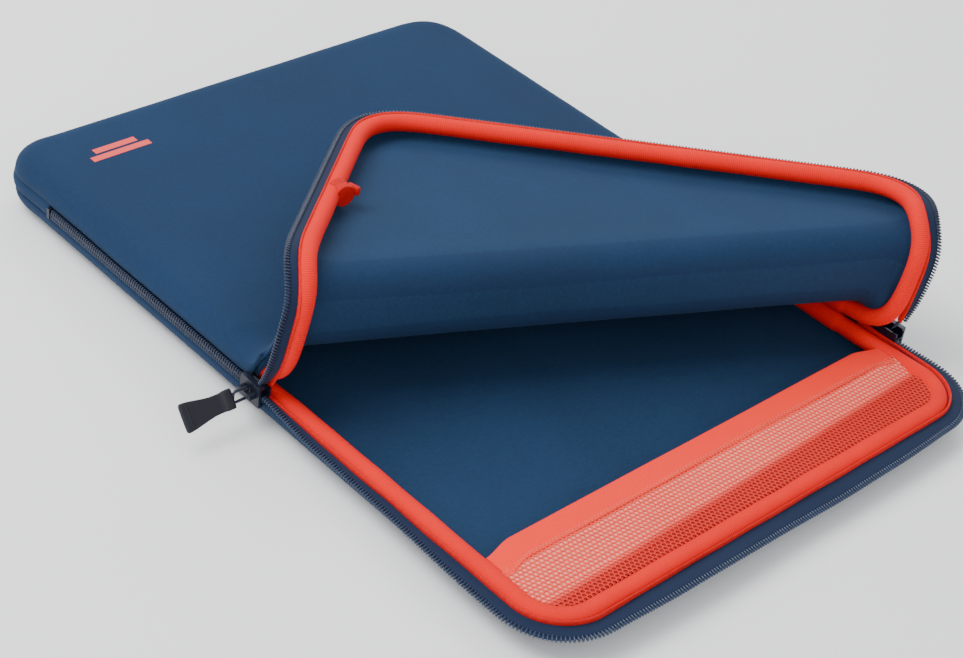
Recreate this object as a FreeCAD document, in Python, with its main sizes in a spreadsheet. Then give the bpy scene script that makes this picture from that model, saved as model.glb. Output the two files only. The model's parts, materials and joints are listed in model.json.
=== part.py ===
import FreeCAD, Part
import Sketcher
import math
import os

# Soft laptop sleeve lying on its back face, its U-shaped zip partly open and the
# free corner of the front panel rolled back. Origin: centre of the underside.
# X across the sleeve, Y towards its closed end, Z up. Millimetres.

Vector = FreeCAD.Vector
Rotation = FreeCAD.Rotation
Placement = FreeCAD.Placement

doc = FreeCAD.newDocument("LaptopSleeve")
sheet = doc.addObject("Spreadsheet::Sheet", "sizes")

driving_sizes = [
    ("sleeve_length", 352, "outside, along the zip sides"),
    ("sleeve_width", 252, "outside, across"),
    ("sleeve_thick", 29, "both half shells and the zip between them"),
    ("corner_round", 26, "corner radius seen from above"),
    ("edge_round", 10, "radius from a panel into its side wall"),
    ("outer_fabric", 0.5, "outer jersey"),
    ("foam_core", 2, "neoprene foam"),
    ("lining_fabric", 0.5, "inner jersey"),
    ("zip_gap", 7, "height between the two side walls, filled by the zip"),
    ("tape_thick", 0.6, "zip tape"),
    ("coil_height", 1.9, "one side of the coil, across the zip"),
    ("coil_depth", 2.6, "coil, out of the tape"),
    ("coil_slot", 1.2, "clear slot between the two sides for the slider post"),
    ("zip_flare", 5, "how far an open zip tape stands out"),
    ("zip_end_at", 40, "from the closed end to each end of the zip"),
    ("rim_size", 9, "diameter of the padded rim"),
    ("rim_cover", 0.6, "knit cover of the padded rim"),
    ("soft_gap", 0.4, "clearance between soft neighbours"),
    ("slider_left_at", 170, "left slider from the open end"),
    ("slider_right_at", 51, "right slider from the open end"),
    ("slider_length", 12, "slider body along the zip"),
    ("slider_height", 10, "slider body across the zip"),
    ("slider_plate", 1.1, "thickness of a slider plate"),
    ("slider_post", 0.5, "post that parts the two coils"),
    ("slider_play", 0.5, "clearance of the slider round the zip"),
    ("puller_length", 30, "rubber puller"),
    ("puller_width", 11, "rubber puller at its end"),
    ("puller_thick", 2.4, "rubber puller"),
    ("puller_lean", 40, "twist of the left puller on its wire loop, degrees"),
    ("puller_swing", 78, "swing of the right puller from straight out, degrees"),
    ("roll_radius", 16.5, "middle of the panel where it rolls back"),
    ("roll_turn", 188, "whole turn of the rolled panel, degrees"),
    ("roll_ahead", -6, "first bend line, from the line between the sliders"),
    ("pocket_depth", 51, "top edge of the pocket from the open end"),
    ("hem_width", 12, "elastic hem of the pocket"),
    ("mesh_thick", 0.6, "mesh net"),
    ("hem_thick", 1.2, "elastic hem"),
    ("stitch_width", 1.6, "zigzag seam"),
    ("mark_length", 30, "plain printed bars"),
    ("mark_width", 3, "one printed bar"),
    ("mark_side", 40, "middle of the bars from the left side"),
    ("mark_end", 35, "nearer bar from the closed end"),
]
for row, (alias, value, note) in enumerate(driving_sizes, start=1):
    sheet.set("A%d" % row, alias.replace("_", " "))
    sheet.set("B%d" % row, str(value))
    sheet.set("C%d" % row, note)
    sheet.setAlias("B%d" % row, alias)
doc.recompute()

length = sheet.sleeve_length
width = sheet.sleeve_width
thick = sheet.sleeve_thick
wall = sheet.outer_fabric + sheet.foam_core + sheet.lining_fabric
half_height = (thick - sheet.zip_gap) / 2
middle = thick / 2
panel_middle = thick - wall / 2
rim_radius = sheet.rim_size / 2
rim_inset = wall + sheet.soft_gap / 4 + rim_radius
base_rim_z = middle - sheet.soft_gap / 2 - 0.1 - rim_radius
front_rim_z = thick - base_rim_z

parts = []


def keep(item, label):
    """Marks a document object as a sub-part and names it."""
    item.Label = label
    parts.append(item)
    return item


# ---- geometry of the roll -------------------------------------------------
# The panel bends along two parallel lines. "Along" runs from the left slider to
# the right one, "ahead" runs from that line towards the open end.

left_slider_y = -length / 2 + sheet.slider_left_at
right_slider_y = -length / 2 + sheet.slider_right_at
slider_line = Vector(width, right_slider_y - left_slider_y, 0)
along = Vector(slider_line).normalize()
ahead = Vector(along.y, -along.x, 0)
line_middle = Vector(0, (left_slider_y + right_slider_y) / 2, 0)
line_angle = math.degrees(math.atan2(along.y, along.x))

half_turn = math.radians(sheet.roll_turn) / 2
bend_length = sheet.roll_radius * half_turn
pivot_rise = sheet.roll_radius * (1 - half_turn / 2 / math.tan(half_turn / 2))
roll_start = sheet.roll_ahead - bend_length / 2
roll_end = sheet.roll_ahead + 1.5 * bend_length


def roll_point(distance_ahead, height):
    return line_middle + ahead * distance_ahead + Vector(0, 0, height)


def turned_about(point, angle):
    """Placement that turns the panel up and back by angle, about a line along."""
    turn = Rotation(along.negative(), angle)
    return Placement(point - turn.multVec(point), turn)


first_pivot = roll_point(sheet.roll_ahead, panel_middle + pivot_rise)
first_turn = turned_about(first_pivot, sheet.roll_turn / 2)
second_pivot_flat = roll_point(sheet.roll_ahead + bend_length, panel_middle + pivot_rise)
second_pivot = first_turn.multVec(second_pivot_flat)
second_turn = turned_about(second_pivot, sheet.roll_turn / 2)
flap_placement = second_turn.multiply(first_turn)

reach = 2 * (length + width)


def region(name, start, end, bottom=0.0, top=None):
    """Block over the sleeve between two distances ahead of the slider line."""
    block = doc.addObject("Part::Box", name)
    block.Length = reach
    block.Width = end - start
    block.Height = (thick if top is None else top) - bottom
    corner = line_middle + along * (-reach / 2) + ahead * end + Vector(0, 0, bottom)
    block.Placement = Placement(corner, Rotation(Vector(0, 0, 1), line_angle))
    return block


def common(name, first, second):
    item = doc.addObject("Part::Common", name)
    item.Base = first
    item.Tool = second
    return item


def cut(name, first, second):
    item = doc.addObject("Part::Cut", name)
    item.Base = first
    item.Tool = second
    return item


def fuse(name, items):
    item = doc.addObject("Part::MultiFuse", name)
    item.Shapes = items
    return item


def group(name, items):
    """Separate solids of one kind, held together as one sub-part."""
    item = doc.addObject("Part::Compound", name)
    item.Links = items
    return item


# ---- half shells ----------------------------------------------------------


def rounded_block(name, outset, bottom, height, round_bottom):
    """Body: the sleeve's outline grown by outset, as a block with rounded corners."""
    body = doc.addObject("PartDesign::Body", name)
    sketch = body.newObject("Sketcher::SketchObject", name + "_outline")
    plane = [f for f in body.Origin.OriginFeatures if f.Role == "XY_Plane"][0]
    sketch.AttachmentSupport = (plane, "")
    sketch.MapMode = "FlatFace"
    hx, hy = width / 2, length / 2
    corners = [Vector(-hx, -hy, 0), Vector(hx, -hy, 0), Vector(hx, hy, 0), Vector(-hx, hy, 0)]
    for index in range(4):
        sketch.addGeometry(Part.LineSegment(corners[index], corners[(index + 1) % 4]), False)
    for index in range(4):
        sketch.addConstraint(Sketcher.Constraint("Coincident", index, 2, (index + 1) % 4, 1))
    sketch.addConstraint(Sketcher.Constraint("Horizontal", 0))
    sketch.addConstraint(Sketcher.Constraint("Horizontal", 2))
    sketch.addConstraint(Sketcher.Constraint("Vertical", 1))
    sketch.addConstraint(Sketcher.Constraint("Vertical", 3))
    sketch.addConstraint(Sketcher.Constraint("Symmetric", 0, 1, 1, 2, -1, 1))
    wide = sketch.addConstraint(Sketcher.Constraint("DistanceX", 0, 1, 0, 2, width))
    tall = sketch.addConstraint(Sketcher.Constraint("DistanceY", 1, 1, 1, 2, length))
    sketch.setExpression("Constraints[%d]" % wide, "sizes.sleeve_width + 2 * (%s)" % outset)
    sketch.setExpression("Constraints[%d]" % tall, "sizes.sleeve_length + 2 * (%s)" % outset)
    pad = body.newObject("PartDesign::Pad", name + "_pad")
    pad.Profile = sketch
    pad.setExpression("Length", height)
    doc.recompute()
    upright = [i for i, e in enumerate(pad.Shape.Edges, 1)
               if abs(e.Vertexes[0].Z - e.Vertexes[-1].Z) > 0.1]
    sides = body.newObject("PartDesign::Fillet", name + "_corners")
    sides.Base = (pad, ["Edge%d" % i for i in upright])
    sides.setExpression("Radius", "sizes.corner_round + (%s)" % outset)
    doc.recompute()
    tip = sides
    if round_bottom:
        low = [i for i, e in enumerate(sides.Shape.Edges, 1) if e.BoundBox.ZMax < 0.01]
        tip = body.newObject("PartDesign::Fillet", name + "_round")
        tip.Base = (sides, ["Edge%d" % i for i in low])
        tip.setExpression("Radius", round_bottom)
        doc.recompute()
    body.Tip = tip
    body.Placement = Placement(Vector(0, 0, bottom), Rotation())
    return body


layers = [
    ("outer_shell", "0", "sizes.outer_fabric"),
    ("foam", "sizes.outer_fabric", "sizes.foam_core"),
    ("lining", "sizes.outer_fabric + sizes.foam_core", "sizes.lining_fabric"),
]
half = "(sizes.sleeve_thick - sizes.zip_gap) / 2"
closed_region = region("closed_region", -reach, roll_start - sheet.soft_gap / 2)
flap_region = region("flap_region", roll_end + sheet.soft_gap / 2, reach)
front_flip = Placement(Vector(0, 0, thick), Rotation(Vector(1, 0, 0), 180))

for layer, inner, layer_thick in layers:
    deep = "%s + %s" % (inner, layer_thick)
    inset_value = {"outer_shell": 0, "foam": sheet.outer_fabric,
                   "lining": sheet.outer_fabric + sheet.foam_core}[layer]
    thick_value = {"outer_shell": sheet.outer_fabric, "foam": sheet.foam_core,
                   "lining": sheet.lining_fabric}[layer]
    outside = rounded_block(layer + "_outside", "-(%s)" % inner, inset_value,
                            "%s - (%s)" % (half, inner), "sizes.edge_round - (%s)" % inner)
    inside = rounded_block(layer + "_inside", "-(%s)" % deep, inset_value + thick_value,
                           "%s - (%s) + 1" % (half, deep), "sizes.edge_round - (%s)" % deep)
    base_dish = cut("dish_" + layer, outside, inside)
    keep(base_dish, "base_" + layer)
    doc.recompute()
    front_dish = doc.addObject("Part::Feature", "front_dish_" + layer)
    front_dish.Shape = base_dish.Shape
    front_dish.Placement = front_flip
    keep(common("closed_" + layer, front_dish, closed_region), "front_" + layer)
    flap = common("free_" + layer, front_dish, flap_region)
    doc.recompute()
    flap.Placement = flap_placement
    keep(flap, "flap_" + layer)

# ---- rolled stretch of the front panel ------------------------------------


def roll_ends(name):
    """Slanted block that trims the rolled stretch to the sleeve's two sides."""
    rise = 2 * sheet.roll_radius
    slip = (roll_end - roll_start) * abs(along.y) / along.x
    side = (width / 2 - wall - sheet.soft_gap) / along.x
    shift = roll_start * abs(along.y) / along.x
    low = panel_middle
    profile = [(-side + shift, low), (side + shift, low),
               (side + shift + slip, low + rise), (-side + shift + slip, low + rise)]
    # carry the slant past the roll at both ends
    lean = slip / rise
    extra = sheet.roll_radius
    points = []
    for a, z, sign in [(profile[0][0], profile[0][1], -1), (profile[1][0], profile[1][1], -1),
                       (profile[2][0], profile[2][1], 1), (profile[3][0], profile[3][1], 1)]:
        points.append(line_middle + along * (a + sign * lean * extra)
                      + Vector(0, 0, z + sign * extra) - ahead * reach / 4)
    wire = Part.makePolygon(points + points[:1])
    item = doc.addObject("Part::Feature", name)
    item.Shape = Part.Face(wire).extrude(ahead * reach / 2)
    return item


# local x of each tube points down, so that its turn starts at the flat panel
roll_centre = roll_point(roll_start, panel_middle + sheet.roll_radius)
tube_rotation = Rotation(Vector(0, 0, -1), ahead, along.negative(), "XYZ")
roll_side_block = roll_ends("roll_side_block")


def roll_layer(name, label, inner, outer):
    """Part of a tube about the roll's centre line, between two radii."""
    tubes = []
    for part_name, radius in (("_outer", outer), ("_inner", inner)):
        tube = doc.addObject("Part::Cylinder", name + part_name)
        tube.Radius = radius
        tube.Height = reach
        tube.setExpression("Angle", "sizes.roll_turn")
        tube.Placement = Placement(roll_centre + along * (reach / 2), tube_rotation)
        tubes.append(tube)
    ring = cut(name + "_ring", tubes[0], tubes[1])
    return keep(common(name, ring, roll_side_block), label)


outer_face = sheet.roll_radius - wall / 2
fabric_face = outer_face + sheet.outer_fabric
foam_face = fabric_face + sheet.foam_core
inner_face = sheet.roll_radius + wall / 2
roll_layer("roll_outer", "roll_outer_shell", outer_face, fabric_face)
roll_layer("roll_foam", "roll_foam", fabric_face, foam_face)
roll_layer("roll_lining", "roll_lining", foam_face, inner_face)

# ---- padded rims ----------------------------------------------------------

rim_x = width / 2 - rim_inset
rim_y = length / 2 - rim_inset
rim_corner = sheet.corner_round - rim_inset
rim_back_y = length / 2 - sheet.corner_round
skin_radius = rim_radius
pad_radius = rim_radius - sheet.rim_cover


def u_path(height):
    """Centre line of the rim: up one side, round the open end and back."""
    slope = rim_corner * (1 - math.sqrt(0.5))
    left_top = Vector(-rim_x, rim_back_y, height)
    left_low = Vector(-rim_x, -rim_y + rim_corner, height)
    left_mid = Vector(-rim_x + slope, -rim_y + slope, height)
    end_left = Vector(-rim_x + rim_corner, -rim_y, height)

    def mirrored(point):
        return Vector(-point.x, point.y, point.z)

    edges = [
        Part.LineSegment(left_top, left_low).toShape(),
        Part.Arc(left_low, left_mid, end_left).toShape(),
        Part.LineSegment(end_left, mirrored(end_left)).toShape(),
        Part.Arc(mirrored(end_left), mirrored(left_mid), mirrored(left_low)).toShape(),
        Part.LineSegment(mirrored(left_low), mirrored(left_top)).toShape(),
    ]
    return Part.Wire(edges)


def tube_along(name, path, radius):
    """Solid of round section along a wire."""
    start = path.OrderedVertexes[0].Point
    edge = path.OrderedEdges[0]
    first = edge.FirstParameter if edge.Orientation == "Forward" else edge.LastParameter
    heading = edge.tangentAt(first)
    ring = Part.Wire(Part.Circle(start, heading, radius).toShape())
    item = doc.addObject("Part::Feature", name)
    item.Shape = path.makePipeShell([ring], True, False)
    return item


base_skin = tube_along("base_rim_skin", u_path(base_rim_z), skin_radius)
base_pad = tube_along("base_rim_pad", u_path(base_rim_z), pad_radius)
keep(cut("base_rim_tube", base_skin, base_pad), "base_rim_cover")
keep(base_pad, "base_rim_padding")

front_skin = tube_along("front_rim_skin", u_path(front_rim_z), skin_radius)
front_pad = tube_along("front_rim_pad", u_path(front_rim_z), pad_radius)
front_tube = cut("front_rim_tube", front_skin, front_pad)
keep(common("closed_rim_cover", front_tube, closed_region), "front_rim_cover")
keep(common("closed_rim_padding", front_pad, closed_region), "front_rim_padding")
for layer, shape in (("cover", front_tube), ("padding", front_pad)):
    flap_rim = common("free_rim_" + layer, shape, flap_region)
    doc.recompute()
    flap_rim.Placement = flap_placement
    keep(flap_rim, "flap_rim_" + layer)


def rolled(point):
    """Where a point of the flat front half goes when the panel is rolled back."""
    offset = point - line_middle
    distance = offset.dot(ahead)
    if distance < roll_start:
        return point
    if distance > roll_end:
        return flap_placement.multVec(point)
    turn = (distance - roll_start) / sheet.roll_radius
    arm = panel_middle + sheet.roll_radius - point.z
    return (line_middle + along * offset.dot(along) + ahead * (roll_start + arm * math.sin(turn))
            + Vector(0, 0, panel_middle + sheet.roll_radius - arm * math.cos(turn)))


def rim_edge_points(side):
    """Flat centre line of the rim across the rolled stretch on one side."""
    steps = 11
    spare = sheet.rim_size
    points = []
    for step in range(steps):
        share = step / (steps - 1)
        distance = roll_start - spare + share * (roll_end - roll_start + 2 * spare)
        # the side line first, then the corner arc where the line has ended
        y = (distance - side * rim_x * ahead.x) / ahead.y + line_middle.y
        point = Vector(side * rim_x, y, front_rim_z)
        arc_centre = Vector(side * (rim_x - rim_corner), -rim_y + rim_corner, front_rim_z)
        if y < arc_centre.y:
            reach_ahead = (arc_centre - line_middle).dot(ahead)
            tilt = math.acos(min(1.0, (distance - reach_ahead) / rim_corner))
            point = arc_centre + ahead * (rim_corner * math.cos(tilt)) \
                + along * (side * rim_corner * math.sin(tilt))
        points.append(rolled(point))
    return points


roll_rims = []
for side, name in ((-1, "left"), (1, "right")):
    curve = Part.BSplineCurve()
    curve.interpolate(rim_edge_points(side))
    roll_rims.append(tube_along("roll_rim_" + name, Part.Wire(curve.toShape()), skin_radius))
before_roll = region("before_roll", -reach, roll_start)
after_roll = region("after_roll", roll_end, reach)
after_roll.Placement = flap_placement.multiply(after_roll.Placement)
trimmed = cut("roll_rims_started", group("roll_rims", roll_rims), before_roll)
keep(cut("roll_rims_trimmed", trimmed, after_roll), "roll_rim")

# ---- fabric folds beside the rims -----------------------------------------

open_start = 2 * sheet.slider_length
open_region = region("open_region", open_start, reach)
fold_in = "-(sizes.outer_fabric + sizes.foam_core + sizes.lining_fabric)"
fold_out = fold_in + " + 2 * sizes.soft_gap"


def flared_ring(name, inner, outer, bottom, height):
    outside = rounded_block(name + "_wide", outer, bottom, height, None)
    inside = rounded_block(name + "_narrow", inner, bottom - 1, height + " + 2", None)
    return cut(name, outside, inside)


fold_ring = flared_ring("fold_ring", fold_in, fold_out, half_height, "(sizes.zip_gap - 1) / 2")
keep(common("base_fold", fold_ring, open_region), "base_rim_binding")

tab = doc.addObject("Part::Cylinder", "tab_outside")
tab.Radius = rim_radius + sheet.hem_thick / 3
tab_core = doc.addObject("Part::Cylinder", "tab_inside")
tab_core.Radius = rim_radius
for cylinder in (tab, tab_core):
    cylinder.Height = sheet.hem_width * 0.75
    cylinder.Angle = 150
    cylinder.Placement = Placement(Vector(-rim_x, left_slider_y - 79, front_rim_z),
                                   Rotation(Vector(0, 0, -1), Vector(1, 0, 0), Vector(0, -1, 0), "XYZ"))
joint_tab = cut("joint_tab", tab, tab_core)
doc.recompute()
joint_tab.Placement = flap_placement
keep(joint_tab, "flap_rim_tab")

# ---- zip: tapes and coils -------------------------------------------------

zip_end_y = length / 2 - sheet.zip_end_at
coil_face = width / 2 - sheet.tape_thick * 2
slot = sheet.coil_slot / 2


def zip_strip(name, side, near_x, deep, low, high, from_y, to_y):
    """Straight strip on one long side, from near_x outwards."""
    strip = doc.addObject("Part::Box", name)
    strip.Length = deep
    strip.Width = to_y - from_y
    strip.Height = high - low
    x = near_x if side > 0 else -near_x - deep
    strip.Placement = Placement(Vector(x, from_y, low), Rotation())
    return strip


tape_ring = flared_ring("tape_ring", "-2 * sizes.tape_thick", "sizes.zip_flare",
                        half_height, "sizes.tape_thick")
coil_bottom = half_height + sheet.tape_thick / 2 - sheet.coil_height / 2
coil_ring = flared_ring("coil_ring", "sizes.zip_flare", "sizes.zip_flare + sizes.coil_depth",
                        coil_bottom, "sizes.coil_height")
doc.recompute()

sides = ((-1, "left", left_slider_y), (1, "right", right_slider_y))
for half_name, half_sign in (("base", -1), ("front", 1)):
    tapes = []
    coils = []
    for side, name, slider_y in sides:
        near = middle + half_sign * slot
        far = middle + half_sign * (slot + sheet.coil_height)
        wall_edge = middle + half_sign * sheet.zip_gap / 2
        tapes.append(zip_strip("%s_tape_%s" % (half_name, name), side, coil_face - sheet.tape_thick,
                               sheet.tape_thick, min(near, wall_edge), max(near, wall_edge),
                               slider_y, zip_end_y))
        coils.append(zip_strip("%s_coil_%s" % (half_name, name), side, coil_face, sheet.coil_depth,
                               min(near, far), max(near, far), slider_y, zip_end_y))
    if half_name == "base":
        tapes.append(common("base_tape_open", tape_ring, open_region))
        coils.append(common("base_coil_open", coil_ring, open_region))
    keep(group(half_name + "_tapes", tapes), half_name + "_zip_tape")
    keep(group(half_name + "_coils", coils), half_name + "_zip_coil")

for name, ring, label in (("tape", tape_ring, "flap_zip_tape"), ("coil", coil_ring, "flap_zip_coil"),
                          ("fold", fold_ring, "flap_rim_binding")):
    upper = doc.addObject("Part::Feature", "front_%s_ring" % name)
    upper.Shape = ring.Shape
    upper.Placement = front_flip
    free = common("free_" + name, upper, flap_region)
    doc.recompute()
    free.Placement = flap_placement
    keep(free, label)

stop_length = sheet.coil_height
stops = []
for side, name, slider_y in sides:
    stops.append(zip_strip("stop_" + name, side, coil_face - sheet.tape_thick,
                           sheet.coil_depth + sheet.tape_thick, middle - slot - sheet.coil_height,
                           middle + slot + sheet.coil_height, zip_end_y, zip_end_y + stop_length))
keep(group("stops", stops), "zip_end_stops")

# ---- closed end -----------------------------------------------------------

spine_ring = flared_ring("spine_ring", "-(sizes.outer_fabric + sizes.foam_core)", "0",
                         half_height, "sizes.zip_gap")
spine_zone = doc.addObject("Part::Box", "spine_zone")
spine_zone.Length = reach
spine_zone.Width = reach
spine_zone.Height = thick
spine_zone.Placement = Placement(Vector(-reach / 2, zip_end_y + stop_length, 0), Rotation())
keep(common("spine", spine_ring, spine_zone), "end_spine")

binding = doc.addObject("Part::Box", "binding")
binding.Length = width - 2 * sheet.corner_round
binding.Width = sheet.rim_cover
binding.Height = sheet.zip_gap + 2 * (half_height - sheet.edge_round) * 0.9
binding.Placement = Placement(
    Vector(-binding.Length.Value / 2, length / 2 - wall - sheet.rim_cover,
           middle - binding.Height.Value / 2), Rotation())
keep(binding, "end_seam_binding")

# ---- mesh pocket ----------------------------------------------------------

mesh_z = base_rim_z + rim_radius - sheet.mesh_thick - sheet.hem_thick / 2 - sheet.soft_gap
hem_z = mesh_z - (sheet.hem_thick - sheet.mesh_thick) / 2
chord = math.sqrt(rim_radius ** 2 - (hem_z - base_rim_z) ** 2)
pocket_inset = rim_inset + chord + sheet.soft_gap / 4
hem_top_y = -length / 2 + sheet.pocket_depth
hem_low_y = hem_top_y - sheet.hem_width


def pocket_piece(name, label, bottom, high, from_y, to_y):
    """Slice of the pocket's outline between two distances from the open end."""
    outline = rounded_block(name + "_outline_block", "-%f" % pocket_inset, bottom, "%f" % high, None)
    slab = doc.addObject("Part::Box", name + "_slab")
    slab.Length = width
    slab.Width = to_y - from_y
    slab.Height = thick
    slab.Placement = Placement(Vector(-width / 2, from_y, 0), Rotation())
    return keep(common(name, outline, slab), label)


pocket_piece("mesh", "pocket_mesh", mesh_z, sheet.mesh_thick, -length / 2, hem_low_y)
pocket_piece("hem", "pocket_hem", hem_z, sheet.hem_thick, hem_low_y, hem_top_y)
pocket_piece("seam", "pocket_stitching", mesh_z + sheet.mesh_thick, sheet.mesh_thick / 2,
             hem_low_y - sheet.stitch_width, hem_low_y)

# ---- plain printed bars ---------------------------------------------------

mark_y = length / 2 - sheet.mark_end
mark_x = -width / 2 + sheet.mark_side
bars = []
for index, share in enumerate((1.0, 0.6)):
    bar = doc.addObject("Part::Box", "bar_%d" % index)
    bar.Length = sheet.mark_length * share
    bar.Width = sheet.mark_width
    bar.Height = sheet.tape_thick / 6
    low = mark_y + index * 2 * sheet.mark_width
    bar.Placement = Placement(Vector(mark_x - bar.Length.Value / 2, low, thick), Rotation())
    bars.append(bar)
keep(group("bars", bars), "printed_mark")

# ---- sliders and pullers --------------------------------------------------

coil_front = coil_face + sheet.coil_depth
plate_face = coil_front + sheet.slider_play
plate_back = plate_face + sheet.slider_plate
bridge_wire = 1.2
pin_radius = bridge_wire / 2
pin_x = plate_back + pin_radius + 0.3
bridge_half = sheet.slider_length / 2 - 2


def box_between(name, low, high):
    box = doc.addObject("Part::Box", name)
    box.Length = high.x - low.x
    box.Width = high.y - low.y
    box.Height = high.z - low.z
    box.Placement = Placement(low, Rotation())
    return box


def slider(name, label, side, slider_y):
    """Body drawn on the right-hand side; the left one is turned half round."""
    half_len = sheet.slider_length / 2
    half_tall = sheet.slider_height / 2
    flange = sheet.slider_plate
    tape_back = coil_face - sheet.tape_thick
    inner_x = tape_back - 0.3
    pieces = [
        box_between(name + "_plate", Vector(plate_face, -half_len, -half_tall),
                    Vector(plate_back, half_len, half_tall)),
        box_between(name + "_inner_plate",
                    Vector(inner_x - 0.8, -half_len, -sheet.zip_gap / 2 + sheet.slider_play),
                    Vector(inner_x, half_len, sheet.zip_gap / 2 - sheet.slider_play)),
        box_between(name + "_post", Vector(inner_x, -half_len, -sheet.slider_post / 2),
                    Vector(plate_face, -half_len + 3, sheet.slider_post / 2)),
    ]
    for level in (-1, 1):
        low_z = level * half_tall if level < 0 else half_tall - flange
        pieces.append(box_between(name + "_flange_%d" % level,
                                  Vector(width / 2 + 0.6, -half_len, low_z),
                                  Vector(plate_face, half_len, low_z + flange)))
    body = fuse(name + "_solid", pieces)
    # bridge: a bar along the zip, held off the plate at both ends
    bridge_front = pin_x + pin_radius + 0.3
    bar = box_between(name + "_bar", Vector(bridge_front, -bridge_half, -1.2),
                      Vector(bridge_front + bridge_wire, bridge_half, 1.2))
    feet = [box_between(name + "_foot_%d" % end,
                        Vector(plate_back, end * (bridge_half - 0.6) - 0.6, -1.2),
                        Vector(bridge_front, end * (bridge_half - 0.6) + 0.6, 1.2))
            for end in (-1, 1)]
    bridge = fuse(name + "_arch", [bar] + feet)
    doc.recompute()
    for item, suffix in ((body, "_body"), (bridge, "_bridge")):
        shape = item.Shape.removeSplitter()
        if side < 0:
            shape = shape.mirror(Vector(0, 0, 0), Vector(1, 0, 0))
        piece = doc.addObject("Part::Feature", name + suffix)
        piece.Shape = shape
        piece.Placement = Placement(Vector(0, slider_y, middle), Rotation())
        keep(piece, label + suffix)


def loop_path(deep, half_tall, bend):
    """Closed rounded rectangle in the plane y = 0, with its pin side on the z axis."""
    outline = [Vector(0, 0, -half_tall), Vector(0, 0, half_tall),
               Vector(deep, 0, half_tall), Vector(deep, 0, -half_tall)]
    edges = []
    for index, corner in enumerate(outline):
        before = (outline[index - 1] - corner).normalize()
        after = (outline[(index + 1) % 4] - corner).normalize()
        inward = (before + after) * bend
        arc_middle = corner + inward - inward.normalize() * bend
        edges.append(Part.Arc(corner + before * bend, arc_middle, corner + after * bend).toShape())
        following = outline[(index + 1) % 4]
        edges.append(Part.LineSegment(corner + after * bend, following - after * bend).toShape())
    return Part.Wire(edges)


def puller(name, label, side, slider_y, swing, lean):
    """Wire loop and rubber tab standing out from the bridge along x, then swung."""
    loop_reach = sheet.slider_length / 2 + 1
    loop_shape = loop_path(loop_reach, sheet.puller_width / 4, pin_radius * 2)
    loop = tube_along(name + "_loop", loop_shape, pin_radius)

    # rubber tab: waisted outline in the plane of the loop, with a slot for the cross wire
    neck = sheet.puller_width * 0.7
    tab_start = loop_reach + pin_radius + 0.1
    tab_end = tab_start + sheet.puller_length
    outline = [
        Part.LineSegment(Vector(tab_start, 0, -neck / 2), Vector(tab_start, 0, neck / 2)).toShape(),
    ]
    waist = tab_start + sheet.puller_length * 0.4
    upper = Part.BSplineCurve()
    upper.interpolate([Vector(tab_start, 0, neck / 2), Vector(waist, 0, neck / 2 + 0.2),
                       Vector(tab_end - 1, 0, sheet.puller_width / 2)])
    lower = Part.BSplineCurve()
    lower.interpolate([Vector(tab_end - 1, 0, -sheet.puller_width / 2),
                       Vector(waist, 0, -neck / 2 - 0.2), Vector(tab_start, 0, -neck / 2)])
    end_arc = Part.Arc(Vector(tab_end - 1, 0, sheet.puller_width / 2), Vector(tab_end, 0, 0),
                       Vector(tab_end - 1, 0, -sheet.puller_width / 2))
    outline += [upper.toShape(), end_arc.toShape(), lower.toShape()]
    face = Part.Face(Part.Wire(Part.sortEdges(outline)[0]))
    tab_shape = face.extrude(Vector(0, sheet.puller_thick, 0))
    tab_shape.translate(Vector(0, -sheet.puller_thick / 2, 0))
    doc.recompute()
    # the soft tab is twisted on its loop, the loop itself stays upright
    for shape, suffix, twist in ((loop.Shape, "_link", 0), (tab_shape, "_puller", lean)):
        piece = doc.addObject("Part::Feature", name + suffix)
        piece.Shape = shape
        turn = Rotation(Vector(0, 0, 1), swing + (180 if side < 0 else 0))
        leaning = Rotation(Vector(1, 0, 0), twist)
        piece.Placement = Placement(Vector(side * pin_x, slider_y, middle), turn.multiply(leaning))
        keep(piece, label + suffix)


slider("left_slider", "slider_left", -1, left_slider_y)
slider("right_slider", "slider_right", 1, right_slider_y)
puller("left_pull", "slider_left", -1, left_slider_y, 0, sheet.puller_lean)
puller("right_pull", "slider_right", 1, right_slider_y, sheet.puller_swing, 0)

# ---- check and write ------------------------------------------------------

doc.recompute()
for item in doc.Objects:
    if "Invalid" in item.State or "Error" in item.State:
        raise SystemExit("%s failed: %s" % (item.Name, item.State))
for item in parts:
    if item.Shape.isNull() or not item.Shape.isValid() or not item.Shape.Solids:
        raise SystemExit("%s has no valid solid" % item.Label)

os.makedirs("parts", exist_ok=True)
for item in parts:
    item.Shape.exportStep("parts/%s.step" % item.Label)
print("parts", len(parts))
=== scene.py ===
import json
import math

import bmesh
import bpy
import numpy as np
from mathutils import Matrix, Vector, noise


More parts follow.
